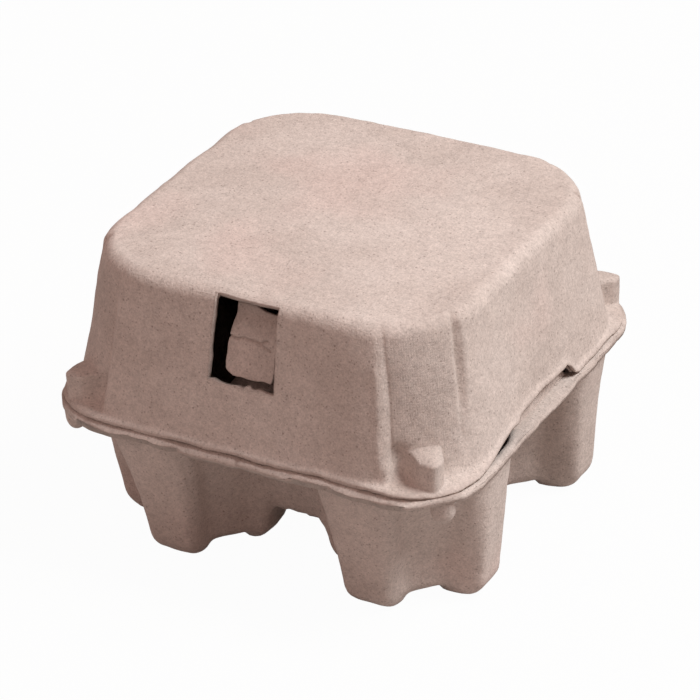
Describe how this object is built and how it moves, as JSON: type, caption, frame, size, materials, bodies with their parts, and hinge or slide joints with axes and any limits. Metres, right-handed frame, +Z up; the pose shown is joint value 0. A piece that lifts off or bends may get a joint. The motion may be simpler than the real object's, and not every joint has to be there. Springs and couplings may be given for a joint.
{
  "type": "pulp egg carton",
  "caption": "Moulded pulp egg carton: a tray of lobed cups under a tapered lid that swings on its back crease and closes on a front latch button.",
  "frame": {"origin": "on the table, under the middle of the carton", "axes": "+Z up, latch at the front (-Y), hinge crease at the back (+Y), +X to the right"},
  "size_m": [0.102, 0.102, 0.072],
  "materials": {
    "pulp": "matt moulded paper pulp"
  },
  "bodies": {
    "base": {"base": "pulp"},
    "lid": {"lid": "pulp"}
  },
  "joints": [
    {"name": "lid_hinge", "type": "hinge", "parent": "base", "child": "lid", "pos_m": [0, 0.051, 0.0367], "axis": [-1, 0, 0], "range_deg": [0, 175]}
  ]
}
